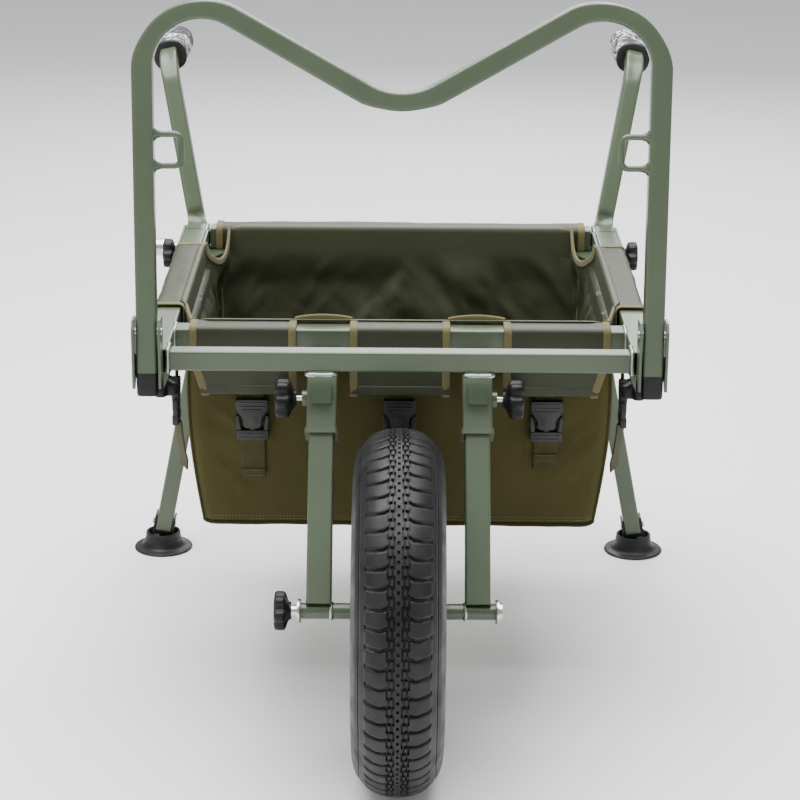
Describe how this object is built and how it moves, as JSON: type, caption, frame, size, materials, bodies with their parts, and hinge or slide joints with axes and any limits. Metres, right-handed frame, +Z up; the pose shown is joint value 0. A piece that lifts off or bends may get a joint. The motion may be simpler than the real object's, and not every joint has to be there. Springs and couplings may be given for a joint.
{
  "type": "one-wheeled barrow cart",
  "caption": "Single-wheel carrying barrow with a square-tube frame, hung canvas bag, clamped fork and legs, fold-up handles and a fold-down M-shaped front bar.",
  "frame": {"origin": "on the ground under the middle of the whole cart's box", "axes": "+Z up; the wheel end faces -Y and the handles run back along +Y; +X is across, with the star knob of the axle on the -X side"},
  "size_m": [0.659, 1.019, 0.7664],
  "materials": {
    "olive_paint": "satin",
    "black_plastic": "matt",
    "black_rubber": "matt",
    "tyre_rubber": "matt",
    "black_paint": "satin",
    "zinc_steel": "satin",
    "canvas": "woven",
    "webbing": "woven",
    "grip_foam": "matt"
  },
  "bodies": {
    "frame": {"left_rail": "olive_paint", "right_rail": "olive_paint", "front_crossbar": "olive_paint", "front_bag_bar": "olive_paint", "rear_bag_bar": "olive_paint", "left_fork_receiver": "olive_paint", "right_fork_receiver": "olive_paint", "left_front_bracket": "olive_paint", "right_front_bracket": "olive_paint", "left_rear_gusset": "olive_paint", "right_rear_gusset": "olive_paint", "left_leg_socket": "olive_paint", "right_leg_socket": "olive_paint", "rail_plugs": "black_plastic", "bag": "canvas", "left_sleeve": "canvas", "right_sleeve": "canvas", "front_sleeve": "canvas", "rear_sleeve": "canvas", "bag_straps": "webbing", "front_buckles": "black_plastic", "side_buckles": "black_plastic", "front_bar_pins": "zinc_steel"},
    "front_bar": {"front_bar": "olive_paint", "tie_loops": "olive_paint", "front_bar_plugs": "black_plastic"},
    "fork": {"left_fork_leg": "olive_paint", "right_fork_leg": "olive_paint", "axle_tubes": "olive_paint", "axle_bolt": "zinc_steel"},
    "wheel": {"tyre": "tyre_rubber", "rim": "black_paint", "hub": "zinc_steel", "wheel_bearings": "zinc_steel", "rim_bolts": "zinc_steel"},
    "axle_knob": {"axle_knob": "black_plastic"},
    "left_fork_knob": {"left_fork_knob": "black_plastic"},
    "right_fork_knob": {"right_fork_knob": "black_plastic"},
    "left_bracket_knob": {"left_bracket_knob": "black_plastic"},
    "right_bracket_knob": {"right_bracket_knob": "black_plastic"},
    "left_handle": {"left_handle": "olive_paint", "left_handle_plates": "olive_paint", "left_grip": "grip_foam", "pull_pin_sleeve": "zinc_steel"},
    "right_handle": {"right_handle": "olive_paint", "right_handle_plates": "olive_paint", "right_grip": "grip_foam"},
    "pull_pin": {"pull_pin": "zinc_steel"},
    "left_handle_knob": {"left_handle_knob": "black_plastic"},
    "right_handle_knob": {"right_handle_knob": "black_plastic"},
    "left_leg": {"left_leg": "olive_paint", "left_foot_clevis": "black_plastic", "left_foot_pin": "zinc_steel"},
    "right_leg": {"right_leg": "olive_paint", "right_foot_clevis": "black_plastic", "right_foot_pin": "zinc_steel"},
    "left_leg_knob": {"left_leg_knob": "black_plastic"},
    "right_leg_knob": {"right_leg_knob": "black_plastic"},
    "left_foot": {"left_foot_disc": "black_rubber"},
    "right_foot": {"right_foot_disc": "black_rubber"}
  },
  "joints": [
    {"name": "front_bar_fold", "type": "hinge", "parent": "frame", "child": "front_bar", "pos_m": [0, -0.25926, 0.44387], "axis": [1, 0, 0], "range_deg": [-85, 0]},
    {"name": "fork_slide", "type": "slide", "parent": "frame", "child": "fork", "axis": [0, -0.5592, -0.829], "range_m": [0, 0.04]},
    {"name": "wheel_spin", "type": "hinge", "parent": "fork", "child": "wheel", "pos_m": [0, -0.3295, 0.18], "axis": [1, 0, 0], "continuous": true},
    {"name": "axle_knob_turn", "type": "hinge", "parent": "fork", "child": "axle_knob", "pos_m": [-0.11, -0.3295, 0.18], "axis": [1, 0, 0], "continuous": true},
    {"name": "left_fork_knob_turn", "type": "hinge", "parent": "frame", "child": "left_fork_knob", "pos_m": [-0.11, -0.20816, 0.3599], "axis": [1, 0, 0], "continuous": true},
    {"name": "left_bracket_knob_turn", "type": "hinge", "parent": "frame", "child": "left_bracket_knob", "pos_m": [-0.238, -0.2195, 0.38], "axis": [0, 0, 1], "continuous": true},
    {"name": "left_handle_fold", "type": "hinge", "parent": "frame", "child": "left_handle", "pos_m": [-0.241, 0.1715, 0.41], "axis": [1, 0, 0], "range_deg": [0, 90]},
    {"name": "left_handle_knob_turn", "type": "hinge", "parent": "frame", "child": "left_handle_knob", "pos_m": [-0.27, 0.1715, 0.41], "axis": [1, 0, 0], "continuous": true},
    {"name": "left_leg_knob_turn", "type": "hinge", "parent": "frame", "child": "left_leg_knob", "pos_m": [-0.23145, 0.31142, 0.32998], "axis": [0, 0.9997, 0.0239], "continuous": true},
    {"name": "left_leg_slide", "type": "slide", "parent": "frame", "child": "left_leg", "axis": [-0.1977, 0.0235, -0.98], "range_m": [0, 0.05]},
    {"name": "left_foot_swivel", "type": "hinge", "parent": "left_leg", "child": "left_foot", "pos_m": [-0.2935, 0.2885, 0.011], "axis": [1, 0, 0], "range_deg": [-8, 8]},
    {"name": "right_fork_knob_turn", "type": "hinge", "parent": "frame", "child": "right_fork_knob", "pos_m": [0.11, -0.20816, 0.3599], "axis": [1, 0, 0], "continuous": true},
    {"name": "right_bracket_knob_turn", "type": "hinge", "parent": "frame", "child": "right_bracket_knob", "pos_m": [0.238, -0.2195, 0.38], "axis": [0, 0, 1], "continuous": true},
    {"name": "right_handle_fold", "type": "hinge", "parent": "frame", "child": "right_handle", "pos_m": [0.241, 0.1715, 0.41], "axis": [1, 0, 0], "range_deg": [0, 90]},
    {"name": "right_handle_knob_turn", "type": "hinge", "parent": "frame", "child": "right_handle_knob", "pos_m": [0.27, 0.1715, 0.41], "axis": [1, 0, 0], "continuous": true},
    {"name": "right_leg_knob_turn", "type": "hinge", "parent": "frame", "child": "right_leg_knob", "pos_m": [0.23145, 0.31142, 0.32998], "axis": [0, 0.9997, 0.0239], "continuous": true},
    {"name": "right_leg_slide", "type": "slide", "parent": "frame", "child": "right_leg", "axis": [0.1977, 0.0235, -0.98], "range_m": [0, 0.05]},
    {"name": "right_foot_swivel", "type": "hinge", "parent": "right_leg", "child": "right_foot", "pos_m": [0.2935, 0.2885, 0.011], "axis": [1, 0, 0], "range_deg": [-8, 8]},
    {"name": "pull_pin_pull", "type": "slide", "parent": "left_handle", "child": "pull_pin", "axis": [-1, 0, 0], "range_m": [0, 0.006], "stiffness_N_per_m": 400, "springref_m": -0.003}
  ]
}
